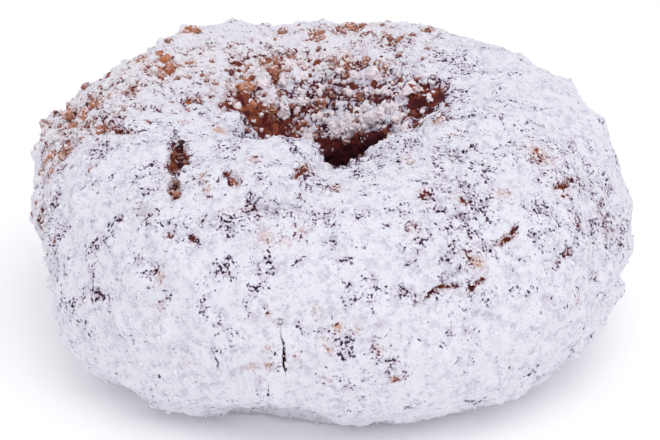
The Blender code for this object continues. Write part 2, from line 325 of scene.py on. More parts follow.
# Places where little sugar stuck and the coat lies in loose crumbs
CRUMBLY_PLACES = (
    (60, 88, 7.0, 0.40), (75, 72, 6.0, 0.50), (90, 95, 9.0, 0.60), (100, 110, 6.0, 0.50),
    (128, 75, 9.0, 0.50), (140, 108, 6.0, 0.60), (158, 84, 8.0, 0.70), (172, 50, 10.0, 0.90),
    (186, 38, 5.0, 0.60), (190, 72, 5.0, 0.50), (197, 8, 4.0, 0.50),
)


def place_on_mesh(mesh):
    """The places and the normals of a mesh's vertices, one row each."""
    flat = np.empty((2, len(mesh.vertices) * 3), np.float32)
    mesh.vertices.foreach_get("co", flat[0])
    mesh.vertex_normals.foreach_get("vector", flat[1])
    return flat.reshape(2, -1, 3).astype(float)


place, normal = place_on_mesh(ring.data)


def soft_spots(places):
    """The sum of soft round spots at each vertex of the skin."""
    total = np.zeros(len(place))
    for around, tube, half_width, amount in places:
        middle = skin_tree.find_nearest(ring_place(around, tube))[0]
        total += amount * np.exp(-((np.linalg.norm(place - middle, axis=1) / (half_width * MM)) ** 2))
    return total


bare = np.interp(angle_round_tube(place), *zip(*BARE_BY_TUBE))
bare += soft_spots(BARE_PLACES + BURIED_PLACES)
warm = soft_spots(WARM_PLACES)
crumbly = soft_spots(CRUMBLY_PLACES)
torn = np.zeros(len(place))
press = soft_spots(SWELLS) * -MM
for line, (_, half_width, depth, amount) in zip(split_lines + fold_lines, SPLITS + FOLDS):
    distance, along = nearest_on_line(place, line)
    taper = np.sqrt(np.clip(np.sin(np.pi * np.clip(along, 0.03, 0.97)), 0, 1))
    if half_width < SPLIT_WIDTH:
        taper *= 0.80 + 0.36 * np.sin(along * 37.0 + 3.0 * np.sin(along * 13.0))
    # The groove itself, the crust laid bare a little past it, and the orange rim past that
    groove, bared, rim = (
        taper * np.exp(-((distance / (half_width * wider * MM)) ** 2)) for wider in (1.0, 1.25, 1.7)
    )
    press += depth * MM * groove
    torn = np.maximum(torn, amount * bared)
    if half_width > SPLIT_WIDTH:
        warm += 0.8 * rim
place -= normal * press[:, None]
ring.data.vertices.foreach_set("co", place.astype(np.float32).ravel())
ring.data.update()


def lay_map(mesh, name, values):
    """Keeps one number for each vertex on the mesh, for the trees and the materials to read."""
    layer = mesh.attributes.new(name, "FLOAT", "POINT")
    layer.data.foreach_set("value", values.astype(np.float32))


lay_map(ring.data, "bare", bare)
lay_map(ring.data, "torn", torn)
lay_map(ring.data, "warm", warm)
lay_map(ring.data, "crumbly", crumbly)


def add(tree, kind, inputs=None, out=0, **settings):
    """Adds a node with its settings, fills its inputs with values or links, and gives an output."""
    node = tree.nodes.new(kind)
    for name, value in settings.items():
        setattr(node, name, value)
    for name, value in (inputs or {}).items():
        if isinstance(value, bpy.types.NodeSocket):
            tree.links.new(value, node.inputs[name])
        else:
            node.inputs[name].default_value = value
    return node.outputs[out] if node.outputs else None


# The coat's own scales: crags of crust, crumbs on them, and the grit of the finest crumbs
CRAG_PITCH = 6.5 * MM
CRUMB_PITCH = 1.9 * MM
PATCH_SIZE = 4.0 * MM
GRIT_SIZE = 1.1 * MM


def cells(tree, place, pitch):
    """Parts the skin into uneven cells: distance to a cell's edge in pitches, and its own number."""
    bend = add(
        tree, "ShaderNodeTexNoise", {"Vector": place, "Scale": 0.9 / pitch, "Detail": 2.0}, "Color"
    )
    pull = add(tree, "ShaderNodeVectorMath", {0: bend, 1: (0.5, 0.5, 0.5)}, operation="SUBTRACT")
    pull = add(tree, "ShaderNodeVectorMath", {0: pull, "Scale": 1.1 * pitch}, operation="SCALE")
    bent = add(tree, "ShaderNodeVectorMath", {0: place, 1: pull}, operation="ADD")
    size = {"Vector": bent, "Scale": 1 / pitch}
    edge = add(tree, "ShaderNodeTexVoronoi", size, "Distance", feature="DISTANCE_TO_EDGE")
    cell = add(tree, "ShaderNodeTexVoronoi", size, "Color")
    return edge, add(tree, "ShaderNodeSeparateXYZ", {0: cell})


def coat_pattern(tree, place, bare):
    """Where the sugar gives way, the closer to 1 the more crust shows, and the rise of the crumbs."""
    seam = cells(tree, place, CRAG_PITCH)[0]
    seam = add(tree, "ShaderNodeMapRange", {0: seam, 1: 0.0, 2: 0.11, 3: 1.0, 4: 0.0})
    patch = add(tree, "ShaderNodeTexNoise", {"Vector": place, "Scale": 1 / PATCH_SIZE, "Detail": 2.0})
    worn = add(tree, "ShaderNodeMapRange", {0: patch, 1: 0.44, 2: 0.62})
    seam = add(tree, "ShaderNodeMath", {0: seam, 1: worn}, operation="MULTIPLY")
    edge, own = cells(tree, place, CRUMB_PITCH)
    cleft = add(tree, "ShaderNodeMapRange", {0: edge, 1: 0.0, 2: 0.16, 3: 1.0, 4: 0.0})
    dome = add(tree, "ShaderNodeMapRange", {0: edge, 1: 0.0, 2: 0.30}, interpolation_type="SMOOTHSTEP")
    tall = add(tree, "ShaderNodeMath", {0: own, 1: 0.7, 2: 0.3}, operation="MULTIPLY_ADD")
    dome = add(tree, "ShaderNodeMath", {0: dome, 1: tall}, operation="MULTIPLY")
    grit = add(tree, "ShaderNodeTexNoise", {"Vector": place, "Scale": 1 / GRIT_SIZE, "Detail": 3.0})
    gap = bare
    pulls = ((seam, 0.30, 0.0), (cleft, 0.18, 0.25), (patch, 1.2, 0.5), (grit, 1.3, 0.5))
    for field, gain, middle in pulls:
        swing = add(tree, "ShaderNodeMath", {0: field, 1: middle}, operation="SUBTRACT")
        gap = add(tree, "ShaderNodeMath", {0: swing, 1: gain, 2: gap}, operation="MULTIPLY_ADD")
    return gap, dome, grit


def new_tree(name, inputs):
    """A geometry tree with a skin in, a mesh out, and named inputs with their kinds of socket."""
    tree = bpy.data.node_groups.new(name, "GeometryNodeTree")
    for label, kind in {"Skin": "Geometry", **inputs}.items():
        tree.interface.new_socket(label, in_out="INPUT", socket_type="NodeSocket" + kind)
    tree.interface.new_socket("Made", in_out="OUTPUT", socket_type="NodeSocketGeometry")
    return tree, tree.nodes.new("NodeGroupInput").outputs


def run_tree(thing, tree, **sizes):
    """Runs a tree on an object, with its inputs set by their names, and keeps the mesh it makes."""
    modifier = thing.modifiers.new(tree.name, "NODES")
    modifier.node_group = tree
    for item in tree.interface.items_tree:
        if item.in_out == "INPUT" and item.name in sizes:
            modifier[item.identifier] = sizes[item.name]
    make_plain(thing)


relief, given = new_tree(
    "crumb_relief",
    {"Crumb_depth": "Float", "Grit_depth": "Float", "Drift_depth": "Float", "Pit_depth": "Float",
     "Coat": "Material"},
)
rest = add(relief, "GeometryNodeInputPosition")
thin = add(relief, "GeometryNodeInputNamedAttribute", {"Name": "bare"}, data_type="FLOAT")
tear = add(relief, "GeometryNodeInputNamedAttribute", {"Name": "torn"}, data_type="FLOAT")
thin = add(relief, "ShaderNodeMath", {0: thin, 1: tear}, operation="ADD")
kept = add(
    relief, "GeometryNodeStoreNamedAttribute",
    {"Geometry": given["Skin"], "Name": "rest", "Value": rest},
    data_type="FLOAT_VECTOR", domain="POINT",
)
gap, dome, grit = coat_pattern(relief, rest, thin)
kept = add(
    relief, "GeometryNodeStoreNamedAttribute",
    {"Geometry": kept, "Name": "gap", "Value": gap},
    data_type="FLOAT", domain="POINT",
)
# Packed sugar fills the dips between the crumbs, and shows only a third of their relief.
shown = add(relief, "ShaderNodeMapRange", {0: thin, 1: 0.10, 2: 0.50, 3: 0.30, 4: 1.0})
dent = add(relief, "ShaderNodeMapRange", {0: gap, 1: 0.25, 2: 0.85}, interpolation_type="SMOOTHSTEP")
drift = add(relief, "ShaderNodeTexNoise", {"Vector": rest, "Scale": 1 / (3.6 * MM), "Detail": 3.0})
height = 0.0
shapes = ((dome, "Crumb_depth", 0.4), (grit, "Grit_depth", 0.5), (dent, "Pit_depth", 0.1))
for field, depth, middle in shapes:
    swing = add(relief, "ShaderNodeMath", {0: field, 1: middle}, operation="SUBTRACT")
    swing = add(relief, "ShaderNodeMath", {0: swing, 1: given[depth]}, operation="MULTIPLY")
    height = add(relief, "ShaderNodeMath", {0: swing, 1: shown, 2: height}, operation="MULTIPLY_ADD")
swing = add(relief, "ShaderNodeMath", {0: drift, 1: 0.5}, operation="SUBTRACT")
height = add(
    relief, "ShaderNodeMath", {0: swing, 1: given["Drift_depth"], 2: height}, operation="MULTIPLY_ADD"
)
# The base stays flat.
level = add(relief, "ShaderNodeSeparateXYZ", {0: rest}, 2)
raised = add(relief, "ShaderNodeMapRange", {0: level, 1: 0.1 * MM, 2: 1.2 * MM})
height = add(relief, "ShaderNodeMath", {0: height, 1: raised}, operation="MULTIPLY")
outward = add(relief, "GeometryNodeInputNormal")
push = add(relief, "ShaderNodeVectorMath", {0: outward, "Scale": height}, operation="SCALE")
moved = add(relief, "ShaderNodeVectorMath", {0: rest, 1: push}, operation="ADD")
moved = add(relief, "ShaderNodeVectorMath", {0: moved, 1: (-1.0, -1.0, 0.0)}, operation="MAXIMUM")
made = add(relief, "GeometryNodeSetPosition", {"Geometry": kept, "Position": moved})
made = add(relief, "GeometryNodeSetShadeSmooth", {"Geometry": made})
made = add(relief, "GeometryNodeRealizeInstances", {0: made})
made = add(relief, "GeometryNodeSetMaterial", {"Geometry": made, "Material": given["Coat"]})
add(relief, "NodeGroupOutput", {"Made": made})


def linear(code):
    """An sRGB hex colour in the linear values that a shader takes."""
    parts = [int(code[i : i + 2], 16) / 255 for i in (1, 3, 5)]
    return (*(p / 12.92 if p <= 0.04045 else ((p + 0.055) / 1.055) ** 2.4 for p in parts), 1.0)


# Powdered sugar is icing sugar ground to some 30 micrometres, with starch in it. Packed on the
# crust it is a matt, faintly blue white. Where it thins, the crust shows through it in lilac,
# peach over a crumb near the surface, and pink among loose crumbs. Where it gives way the fried
# crust is bare, orange brown on crumbs, and painted plum black in the small gaps as painted shade.
SUGAR_WHITE = "#EAEAF1"
SUGAR_THIN = "#B5A7BF"
SUGAR_ON_CRUMB = "#CDA48F"
SUGAR_BLUSH = "#D0ACA5"
# Painted shade: the plum black of small gaps in the sugar
CRUST_PAINTED_GAP_SHADE = "#30192B"
CRUST_BROWN = "#652926"
CRUST_ORANGE = "#9C573F"
CRUST_GOLD = "#C07F5E"
# Painted shade down the throat of the hole
CRUST_PAINTED_THROAT_SHADE = "#3A141A"
SPECK_SIZE = 0.36 * MM
NAP_PITCH = 1.15 * MM


def new_material(name, roughness, specular):
    """A material with its gloss set, its node tree, and the inputs of its shader."""
    material = bpy.data.materials.new(name)
    material.use_nodes = True
    surface = material.node_tree.nodes["Principled BSDF"].inputs
    surface["Roughness"].default_value = roughness
    surface["Specular IOR Level"].default_value = specular
    return material, material.node_tree, surface


def make_sugar_coat(name):
    """Powdered sugar packed on fried crust, as thin as the skin's own maps say."""
    coat, tree, surface = new_material(name, roughness=0.95, specular=0.15)
    rest = add(tree, "ShaderNodeAttribute", out="Vector", attribute_name="rest")
    thin = add(tree, "ShaderNodeAttribute", out="Fac", attribute_name="bare")
    tear = add(tree, "ShaderNodeAttribute", out="Fac", attribute_name="torn")
    warm = add(tree, "ShaderNodeAttribute", out="Fac", attribute_name="warm")
    open_crust = add(tree, "ShaderNodeMath", {0: thin, 1: tear}, operation="ADD")
    gap = coat_pattern(tree, rest, open_crust)[0]
    # The finest crumbs show as a nap where the sugar is thin. Each has caught its own share of
    # sugar, and a gap of bare crust runs round it, painted dark as painted shade.
    edge, own = cells(tree, rest, NAP_PITCH)
    shown = add(tree, "ShaderNodeMapRange", {0: thin, 1: 0.18, 2: 0.50})
    cleft = add(tree, "ShaderNodeMapRange", {0: edge, 1: 0.0, 2: 0.22, 3: 0.40, 4: -0.12})
    lean = add(tree, "ShaderNodeMapRange", {0: thin, 1: 0.60, 2: 0.90, 3: -0.42, 4: -0.15})
    share = add(tree, "ShaderNodeMath", {0: own, 1: 0.8, 2: lean}, operation="MULTIPLY_ADD")
    nap = add(tree, "ShaderNodeMath", {0: cleft, 1: share}, operation="ADD")
    speck = add(
        tree, "ShaderNodeTexNoise",
        {"Vector": rest, "Scale": 1 / SPECK_SIZE, "Detail": 2.0, "Roughness": 0.5},
    )
    swing = add(tree, "ShaderNodeMath", {0: speck, 1: 0.5}, operation="SUBTRACT")
    gain = add(tree, "ShaderNodeMapRange", {0: shown, 3: 2.6, 4: 1.3})
    loosely = add(tree, "ShaderNodeMapRange", {0: gap, 1: 0.02, 2: 0.32, 3: 0.34, 4: 1.0})
    gain = add(tree, "ShaderNodeMath", {0: gain, 1: loosely}, operation="MULTIPLY")
    # Even where the crust shows some grains of sugar lie, fewer in the folds and in the hole.
    most = add(tree, "ShaderNodeMapRange", {0: open_crust, 1: 0.55, 2: 1.00, 3: 0.57, 4: 0.90})
    open_up = add(tree, "ShaderNodeMath", {0: gap, 1: most}, operation="MINIMUM")
    deep = add(tree, "ShaderNodeMapRange", {0: thin, 1: 1.15, 2: 1.5})
    open_up = add(tree, "ShaderNodeMath", {0: open_up, 1: deep}, operation="ADD")
    for field, amount in ((swing, gain), (nap, shown), (warm, 0.26)):
        open_up = add(
            tree, "ShaderNodeMath", {0: field, 1: amount, 2: open_up}, operation="MULTIPLY_ADD"
        )
    sparse = add(tree, "ShaderNodeMapRange", {0: open_up, 1: 0.32, 2: 0.68})
    cover = add(
        tree, "ShaderNodeMapRange",
        {0: open_up, 1: 0.62, 2: 0.80, 3: 1.0, 4: 0.0},
        interpolation_type="SMOOTHSTEP",
    )
    # One fine crumb in five is orange; so are the larger ones that lie near the surface.
    golden = add(tree, "ShaderNodeMapRange", {0: own, 1: 0.66, 2: 0.84, 4: 0.5})
    golden = add(tree, "ShaderNodeMath", {0: golden, 1: shown, 2: warm}, operation="MULTIPLY_ADD")
    mottle = add(
        tree, "ShaderNodeTexNoise",
        {"Vector": rest, "Scale": 1 / (1.3 * MM), "Detail": 4.0, "Roughness": 0.75},
    )
    mottle = add(tree, "ShaderNodeMapRange", {0: mottle, 1: 0.48, 2: 0.68})
    pepper = add(tree, "ShaderNodeMapRange", {0: mottle, 3: 2.4, 4: 5.6})
    stained = add(tree, "ShaderNodeMath", {0: swing, 1: pepper, 2: golden}, operation="MULTIPLY_ADD")
    stained = add(tree, "ShaderNodeMapRange", {0: stained, 1: 0.20, 2: 1.00, 4: 0.95})
    hazy = add(tree, "ShaderNodeMapRange", {0: gap, 1: 0.05, 2: 0.65, 3: 0.62, 4: 1.0})
    hazy = add(tree, "ShaderNodeMath", {0: hazy, 1: mottle}, operation="MULTIPLY")
    sparse = add(tree, "ShaderNodeMath", {0: sparse, 1: stained}, operation="MAXIMUM")
    sparse = add(tree, "ShaderNodeMath", {0: sparse, 1: hazy}, operation="MAXIMUM")
    # Among loose crumbs all the thin sugar takes on their colour.
    loose = add(tree, "ShaderNodeAttribute", out="Fac", attribute_name="crumbly")
    blush = add(tree, "ShaderNodeMapRange", {0: loose, 4: 0.6})
    haze = add(tree, "ShaderNodeMapRange", {0: loose, 4: 0.12})
    sparse = add(tree, "ShaderNodeMath", {0: sparse, 1: haze}, operation="MAXIMUM")
    veil = add(
        tree, "ShaderNodeMix",
        {0: blush, 6: linear(SUGAR_THIN), 7: linear(SUGAR_BLUSH)},
        2, data_type="RGBA",
    )
    veil = add(
        tree, "ShaderNodeMix", {0: golden, 6: veil, 7: linear(SUGAR_ON_CRUMB)}, 2, data_type="RGBA"
    )
    sugar = add(
        tree, "ShaderNodeMix", {0: sparse, 6: linear(SUGAR_WHITE), 7: veil}, 2, data_type="RGBA"
    )
    # The crust is painted plum black in small gaps, as painted shade, and browner and lighter where
    # much of it is bare.
    bald = add(tree, "ShaderNodeMapRange", {0: open_crust, 1: 0.40, 2: 0.80, 4: 0.26})
    bald = add(tree, "ShaderNodeMath", {0: loose, 1: 0.13, 2: bald}, operation="MULTIPLY_ADD")
    warmth = add(tree, "ShaderNodeMath", {0: golden, 1: 0.5, 2: bald}, operation="MULTIPLY_ADD")
    hue = add(tree, "ShaderNodeTexNoise", {"Vector": rest, "Scale": 1 / (1.2 * MM), "Detail": 3.0})
    hue = add(tree, "ShaderNodeMapRange", {0: hue, 1: 0.35, 2: 0.65, 3: 0.5, 4: 1.3})
    warmth = add(tree, "ShaderNodeMath", {0: warmth, 1: hue}, operation="MULTIPLY")
    crust = add(tree, "ShaderNodeValToRGB", {0: warmth})
    stops = crust.node.color_ramp.elements
    stops.new(0.35)
    stops.new(0.70)
    for stop, code in zip(stops, (CRUST_PAINTED_GAP_SHADE, CRUST_BROWN, CRUST_ORANGE, CRUST_GOLD)):
        stop.color = linear(code)
    # Down the throat of the hole the crust is painted near black, as painted shade where little light
    # gets in.
    crust = add(tree, "ShaderNodeMix", {0: deep, 6: crust, 7: linear(CRUST_PAINTED_THROAT_SHADE)}, 2, data_type="RGBA")
    colour = add(tree, "ShaderNodeMix", {0: cover, 6: crust, 7: sugar}, 2, data_type="RGBA")
    tree.links.new(colour, surface["Base Color"])
    crumb = add(tree, "ShaderNodeMapRange", {0: edge, 1: 0.0, 2: 0.38}, interpolation_type="SMOOTHSTEP")
    raised = add(tree, "ShaderNodeMath", {0: crumb, 1: shown}, operation="MULTIPLY")
    raised = add(tree, "ShaderNodeMath", {0: raised, 1: 2.0, 2: speck}, operation="MULTIPLY_ADD")
    bump = add(tree, "ShaderNodeBump", {"Strength": 0.8, "Distance": 0.15 * MM, "Height": raised})
    tree.links.new(bump, surface["Normal"])
    return coat


sugared_crust = make_sugar_coat("powdered_sugar_on_fried_crust")
run_tree(
    ring,
    relief,
    Crumb_depth=0.70 * MM,
    Grit_depth=0.70 * MM,
    Drift_depth=0.9 * MM,
    Pit_depth=-0.35 * MM,
    Coat=sugared_crust,
)
# Away from the splits, whose fine faces stay, the skin is thinned out.
KEPT_FINE = 0.5 * MM
place = place_on_mesh(ring.data)[0]
close = np.zeros(len(place), bool)
for line in split_lines:
    close |= nearest_on_line(place, line)[0] < KEPT_FINE
ring.vertex_groups.new(name="away_from_splits").add(np.flatnonzero(~close).tolist(), 1.0, "REPLACE")
thin_out = ring.modifiers.new("thin_out", "DECIMATE")
thin_out.ratio = SKIN_TRIANGLES / sum(len(face.vertices) - 2 for face in ring.data.polygons)
thin_out.vertex_group = "away_from_splits"
make_plain(ring)
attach(ring, "root")
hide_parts("crumb_doughnut")

# ---------------------------------------------------------------------------------------------
# Sugar clots
# Icing sugar cakes together in the shaker and falls in small soft lumps, which lie all over the
# coat and give it its rough nap.

grains, given = new_tree(
    "grains_on_skin",
    {"Where": "String", "Number_on_area": "Float", "Spacing": "Float", "Smallest": "Float",
     "Largest": "Float", "Fewer_large": "Float", "Rise": "Float", "Ruffle": "Float",
     "Fineness": "Int", "Draw": "Int", "Coat": "Material"},
)
wanted = add(grains, "GeometryNodeInputNamedAttribute", {"Name": given["Where"]}, data_type="FLOAT")
spread = add(
    grains, "GeometryNodeDistributePointsOnFaces",
    {"Mesh": given["Skin"], "Distance Min": given["Spacing"], "Density Max": given["Number_on_area"],
     "Density Factor": wanted, "Seed": given["Draw"]},
    distribute_method="POISSON",
)
# Most grains are small: the draw from 0 to 1 is raised to a power.
luck = add(grains, "FunctionNodeRandomValue", {"Seed": given["Draw"]}, 1, data_type="FLOAT")
luck = add(grains, "ShaderNodeMath", {0: luck, 1: given["Fewer_large"]}, operation="POWER")
size = add(grains, "ShaderNodeMapRange", {0: luck, 3: given["Smallest"], 4: given["Largest"]})
points = add(
    grains, "GeometryNodeStoreNamedAttribute",
    {"Geometry": spread, "Name": "grain_size", "Value": size},
    data_type="FLOAT", domain="POINT",
)
tone = add(grains, "FunctionNodeRandomValue", {"Seed": 8}, 1, data_type="FLOAT")
points = add(
    grains, "GeometryNodeStoreNamedAttribute",
    {"Geometry": points, "Name": "tone", "Value": tone},
    data_type="FLOAT", domain="POINT",
)
size = add(grains, "GeometryNodeInputNamedAttribute", {"Name": "grain_size"}, data_type="FLOAT")
lift = add(grains, "ShaderNodeMath", {0: size, 1: given["Rise"]}, operation="MULTIPLY")
lift = add(
    grains, "ShaderNodeVectorMath", {0: spread.node.outputs["Normal"], "Scale": lift}, operation="SCALE"
)
points = add(grains, "GeometryNodeSetPosition", {"Geometry": points, "Offset": lift})
ball = add(grains, "GeometryNodeMeshIcoSphere", {"Radius": 0.5, "Subdivisions": given["Fineness"]})
turn = add(
    grains, "FunctionNodeRandomValue",
    {0: (0, 0, 0), 1: (6.28, 6.28, 6.28), "Seed": 5},
    data_type="FLOAT_VECTOR",
)
squeeze = add(
    grains, "FunctionNodeRandomValue",
    {0: (0.7, 0.7, 0.6), 1: (1.25, 1.25, 1.0), "Seed": 6},
    data_type="FLOAT_VECTOR",
)
squeeze = add(grains, "ShaderNodeVectorMath", {0: squeeze, "Scale": size}, operation="SCALE")
lumps = add(
    grains, "GeometryNodeInstanceOnPoints",
    {"Points": points, "Instance": ball, "Rotation": turn, "Scale": squeeze},
)
lumps = add(grains, "GeometryNodeRealizeInstances", {0: lumps})
# Each lump is dented by a noise as coarse as the lump itself.
here = add(grains, "GeometryNodeInputPosition")
inverse = add(grains, "ShaderNodeMath", {0: 1.0, 1: size}, operation="DIVIDE")
scaled = add(grains, "ShaderNodeVectorMath", {0: here, "Scale": inverse}, operation="SCALE")
dent = add(grains, "ShaderNodeTexNoise", {"Vector": scaled, "Scale": 1.6, "Detail": 1.0}, "Color")
dent = add(grains, "ShaderNodeVectorMath", {0: dent, 1: (0.5, 0.5, 0.5)}, operation="SUBTRACT")
amount = add(grains, "ShaderNodeMath", {0: size, 1: given["Ruffle"]}, operation="MULTIPLY")
dent = add(grains, "ShaderNodeVectorMath", {0: dent, "Scale": amount}, operation="SCALE")
moved = add(grains, "ShaderNodeVectorMath", {0: here, 1: dent}, operation="ADD")
moved = add(grains, "ShaderNodeVectorMath", {0: moved, 1: (-1.0, -1.0, 0.0)}, operation="MAXIMUM")
made = add(grains, "GeometryNodeSetPosition", {"Geometry": lumps, "Position": moved})
made = add(grains, "GeometryNodeSetShadeSmooth", {"Geometry": made})
made = add(grains, "GeometryNodeSetMaterial", {"Geometry": made, "Material": given["Coat"]})
add(grains, "NodeGroupOutput", {"Made": made})


def scatter(name, coat, where, **sizes):
    """A piece of loose grains on the ring's skin, as dense as the numbers in where say."""
    piece = bpy.data.objects.new(name, ring.data.copy())
    bpy.context.scene.collection.objects.link(piece)
    piece.data.materials.clear()
    lay_map(piece.data, name, np.clip(where, 0, 1))
    run_tree(piece, grains, Coat=coat, Where=name, **sizes)
    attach(piece, "root")


def read_map(mesh, name):
    """The values of one of the mesh's maps, one for each vertex."""
    values = np.empty(len(mesh.vertices), np.float32)
    mesh.attributes[name].data.foreach_get("value", values)
    return values.astype(float)


def ramp(values, low, high):
    """From 0 at low to 1 at high; high may be the lower of the two."""
    return np.clip((values - low) / (high - low), 0, 1)


SUGAR_CLOT = "#F0EFF5"


def make_sugar(name):
    """Caked icing sugar: matt white, with a little lilac where it is thin."""
    coat, tree, surface = new_material(name, roughness=0.95, specular=0.15)
    here = add(tree, "ShaderNodeTexCoord", out="Object")
    cloud = add(tree, "ShaderNodeTexNoise", {"Vector": here, "Scale": 1 / (0.7 * MM), "Detail": 3.0})
    cloud = add(tree, "ShaderNodeMapRange", {0: cloud, 1: 0.50, 2: 0.75, 4: 0.6})
    colour = add(
        tree, "ShaderNodeMix",
        {0: cloud, 6: linear(SUGAR_CLOT), 7: linear(SUGAR_THIN)},
        2, data_type="RGBA",
    )
    tree.links.new(colour, surface["Base Color"])
    return coat


place = place_on_mesh(ring.data)[0]
round_tube = angle_round_tube(place)
bare, crumbly, gap = (read_map(ring.data, name) for name in ("bare", "crumbly", "gap"))
scatter(
    "sugar_clots",
    make_sugar("caked_icing_sugar"),
    ramp(gap, 0.62, 0.42) * (0.25 + 0.75 * ramp(bare, 0.12, 0.28)) * ramp(round_tube, 125, 110),
    Number_on_area=0.9e6,
    Spacing=0.45 * MM,
    Smallest=0.30 * MM,
    Largest=0.90 * MM,
    Fewer_large=3.0,
    Rise=0.0,
    Ruffle=1.2,
    Fineness=1,
    Draw=3,
)

# ---------------------------------------------------------------------------------------------
# Coat crumbs
# Crumbs of fried cake, which the ring was rolled in before the sugar. They are orange brown
# under a dusting that lies thickest on their tops.

CRUMB_DARK = "#431E28"
CRUMB_BROWN = "#8C4935"
CRUMB_ORANGE = "#CC8259"


def make_crumb_coat(name, dusting, sugar):
    """Fried cake crumb: open and matt, plum in its pores, with a dusting of sugar from above."""
    coat, tree, surface = new_material(name, roughness=0.9, specular=0.2)
    here = add(tree, "ShaderNodeTexCoord", out="Object")
    facing = add(tree, "ShaderNodeNewGeometry", out="Normal")
    upward = add(tree, "ShaderNodeSeparateXYZ", {0: facing}, 2)
    tone = add(tree, "ShaderNodeAttribute", out="Fac", attribute_name="tone")
    dust = add(tree, "ShaderNodeTexNoise", {"Vector": here, "Scale": 1 / (0.45 * MM), "Detail": 3.0})
    warm = add(tree, "ShaderNodeAttribute", out="Fac", attribute_name="warm")
    sum_up = dusting
    pulls = ((upward, 0.35, 0.4), (tone, 1.2, 0.5), (dust, 1.7, 0.5), (warm, -0.15, 0.0))
    for field, gain, middle in pulls:
        swing = add(tree, "ShaderNodeMath", {0: field, 1: middle}, operation="SUBTRACT")
        sum_up = add(tree, "ShaderNodeMath", {0: swing, 1: gain, 2: sum_up}, operation="MULTIPLY_ADD")
    cover = add(
        tree, "ShaderNodeMapRange",
        {0: sum_up, 1: 0.10, 2: 0.95, 4: 0.96},
        interpolation_type="SMOOTHSTEP",
    )
    hue = add(tree, "ShaderNodeTexNoise", {"Vector": here, "Scale": 1 / (0.8 * MM), "Detail": 3.0})
    hue = add(tree, "ShaderNodeMapRange", {0: hue, 1: 0.33, 2: 0.67, 4: 0.6})
    hue = add(tree, "ShaderNodeMath", {0: warm, 1: 0.5, 2: hue}, operation="MULTIPLY_ADD")
    crust = add(tree, "ShaderNodeValToRGB", {0: hue})
    stops = crust.node.color_ramp.elements
    stops.new(0.5)
    for stop, code in zip(stops, (CRUMB_DARK, CRUMB_BROWN, CRUMB_ORANGE)):
        stop.color = linear(code)
    thick = add(tree, "ShaderNodeMapRange", {0: cover, 1: 0.50, 2: 0.96, 4: 0.95})
    veil = add(
        tree, "ShaderNodeMix", {0: thick, 6: linear(SUGAR_BLUSH), 7: linear(sugar)}, 2, data_type="RGBA"
    )
    colour = add(tree, "ShaderNodeMix", {0: cover, 6: crust, 7: veil}, 2, data_type="RGBA")
    tree.links.new(colour, surface["Base Color"])
    bump = add(tree, "ShaderNodeBump", {"Strength": 0.9, "Distance": 0.16 * MM, "Height": dust})
    tree.links.new(bump, surface["Normal"])
    return coat


scatter(
    "coat_crumbs",
    make_crumb_coat("sugared_cake_crumbs", 0.96, SUGAR_CLOT),
    crumbly * ramp(round_tube, 128, 116) * ramp(place[:, 2], 3 * MM, 8 * MM),
    Number_on_area=1.0e6,
    Spacing=0.7 * MM,
    Smallest=0.65 * MM,
    Largest=1.8 * MM,
    Fewer_large=2.5,
    Rise=-0.22,
    Ruffle=0.8,
    Fineness=2,
    Draw=11,
)

# ---------------------------------------------------------------------------------------------
# Sugar and crumbs in the hole
# Little sugar falls down the hole. It lies there in separate soft clots on the brown wall, with
# bare crumbs between them. Their sugar is painted faintly pink, as painted light bounced off the wall.

# Painted light: a pink tint and a little brightness, as if bounced off the brown wall
SUGAR_PAINTED_WALL_BOUNCE = "#F9F0F6"

# At the rear the wall of the hole begins nearer to the crown than at the front.
round_ring = np.arctan2(place[:, 1], place[:, 0])
hole_starts = 116 - 12 * np.sin(round_ring)
in_hole = ramp(round_tube - hole_starts, 0, 12)
scatter(
    "hole_clots",
    make_crumb_coat("clotted_sugar_in_the_hole", 0.93, SUGAR_PAINTED_WALL_BOUNCE),
    in_hole * (0.50 * ramp(bare, 1.5, 0.6) + 0.65 * ramp(bare, 0.45, 0.1)),
    Number_on_area=2.2e6,
    Spacing=0.55 * MM,
    Smallest=0.45 * MM,
    Largest=1.6 * MM,
    Fewer_large=2.5,
    Rise=-0.26,
    Ruffle=0.8,
    Fineness=2,
    Draw=21,
)
scatter(
    "hole_crumbs",
    make_crumb_coat("bare_fried_crumbs", 0.42, SUGAR_PAINTED_WALL_BOUNCE),
    in_hole * ramp(bare, 1.6, 0.7) * 0.6,
    Number_on_area=0.8e6,
    Spacing=0.8 * MM,
    Smallest=0.45 * MM,
    Largest=1.3 * MM,
    Fewer_large=2.0,
    Rise=-0.05,
    Ruffle=0.8,
    Fineness=2,
    Draw=31,
)

# ---------------------------------------------------------------------------------------------
# Large crumbs and clots
# The few crumbs and clots that stand out one by one, on the shoulder, in the large fold, on the
# crown behind the hole and in the hole. Each sits where it stuck, its middle just under the skin.

LARGE_SINK = 0.18  # of its width
# Each lump is dented by three noises, coarse to fine: (times as fine as the first, depth in widths)
DENTS_OF_CRUMB = ((1.0, 0.34), (2.6, 0.20), (6.5, 0.11))
DENTS_OF_CLOT = ((1.0, 0.34), (2.6, 0.20), (6.5, 0.05))
